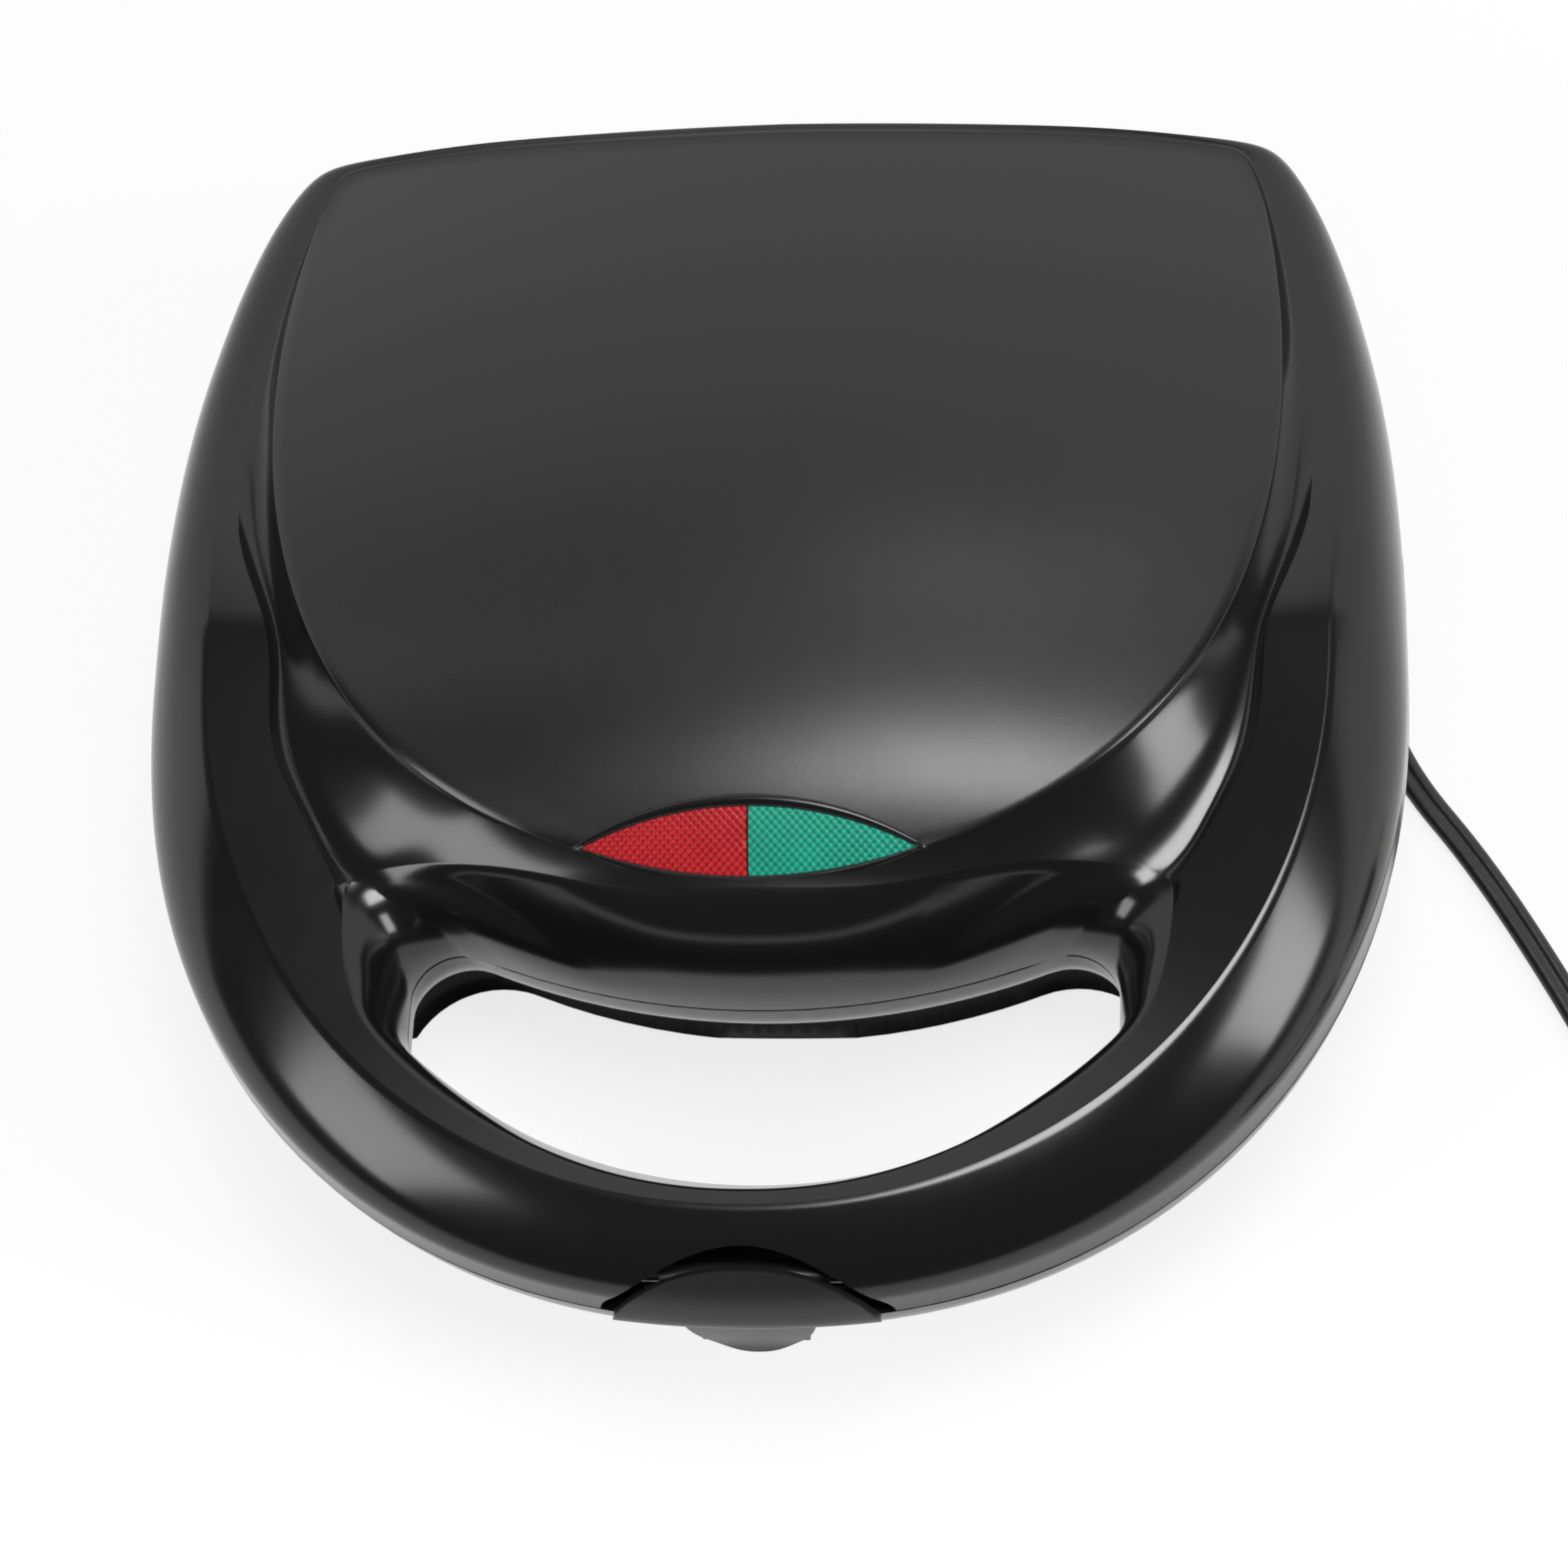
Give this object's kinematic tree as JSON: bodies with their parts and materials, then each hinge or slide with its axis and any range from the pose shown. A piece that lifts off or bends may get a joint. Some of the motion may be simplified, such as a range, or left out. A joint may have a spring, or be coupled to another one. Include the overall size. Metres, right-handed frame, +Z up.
{
  "type": "corn dog maker",
  "caption": "Round hinged countertop cooker with a looped front handle, latch, two indicator lamps and half-round cooking moulds for corn dogs.",
  "frame": {"origin": "the middle of the footprint of the cooker, without its cord, on the surface that the feet stand on", "axes": "+X to the right of a person at the handle, +Y away from them to the hinge, +Z up"},
  "size_m": [0.3604, 0.2736, 0.087],
  "materials": {
    "gloss_black": "gloss",
    "latch_grey": "fine grain",
    "steel": "zinc plated",
    "red_lens": "clear, faceted inside",
    "green_lens": "clear, faceted inside",
    "white_plastic": "matte",
    "lamp_glass": "clear",
    "sleeve_black": "matte",
    "brown_plastic": "matte",
    "sleeving": "woven glass sleeving",
    "cord_black": "satin",
    "plug_black": "satin",
    "pin_brass": "bright",
    "nonstick_plate": "non-stick coating",
    "element_steel": "oxidised",
    "shield_aluminium": "mill finish",
    "foot_rubber": "matte"
  },
  "bodies": {
    "root": {"base_leads": "sleeving", "cord_coil": "cord_black", "cord_run": "cord_black", "cord_tail": "cord_black", "front_left_foot": "foot_rubber", "front_right_foot": "foot_rubber", "hinge_sleeve": "sleeve_black", "left_hinge_pin": "steel", "lower_bar_screw": "steel", "lower_cooking_plate": "nonstick_plate", "lower_element_bar": "steel", "lower_handle_liner": "gloss_black", "lower_heat_shield": "shield_aluminium", "lower_heating_element": "element_steel", "lower_liner_screws": "steel", "lower_plate_screws": "steel", "lower_shell": "gloss_black", "lower_shield_screws": "steel", "plug": "plug_black", "plug_pins": "pin_brass", "rear_left_foot": "foot_rubber", "rear_right_foot": "foot_rubber", "right_hinge_pin": "steel", "strain_relief": "cord_black", "supply_leads": "sleeving", "terminal_block": "white_plastic", "thermal_fuse": "sleeving"},
    "lid": {"upper_bar_screw": "steel", "upper_cooking_plate": "nonstick_plate", "upper_element_bar": "steel", "upper_handle_liner": "gloss_black", "upper_heat_shield": "shield_aluminium", "upper_heating_element": "element_steel", "upper_liner_screws": "steel", "upper_plate_screws": "steel", "upper_shell": "gloss_black", "upper_shield_screws": "steel", "thermostat": "brown_plastic", "lid_leads": "sleeving", "lamp_holder": "white_plastic", "ready_lamp": "lamp_glass", "power_lamp": "lamp_glass", "red_lens": "red_lens", "green_lens": "green_lens", "latch_pin": "steel"},
    "latch": {"latch": "latch_grey"}
  },
  "joints": [
    {"name": "lid_hinge", "type": "hinge", "parent": "root", "child": "lid", "pos_m": [0, 0.1164, 0.048], "axis": [-1, 0, 0], "range_deg": [0, 100]},
    {"name": "latch_pivot", "type": "hinge", "parent": "lid", "child": "latch", "pos_m": [0, -0.111, 0.0537], "axis": [-1, 0, 0], "range_deg": [0, 14]}
  ]
}
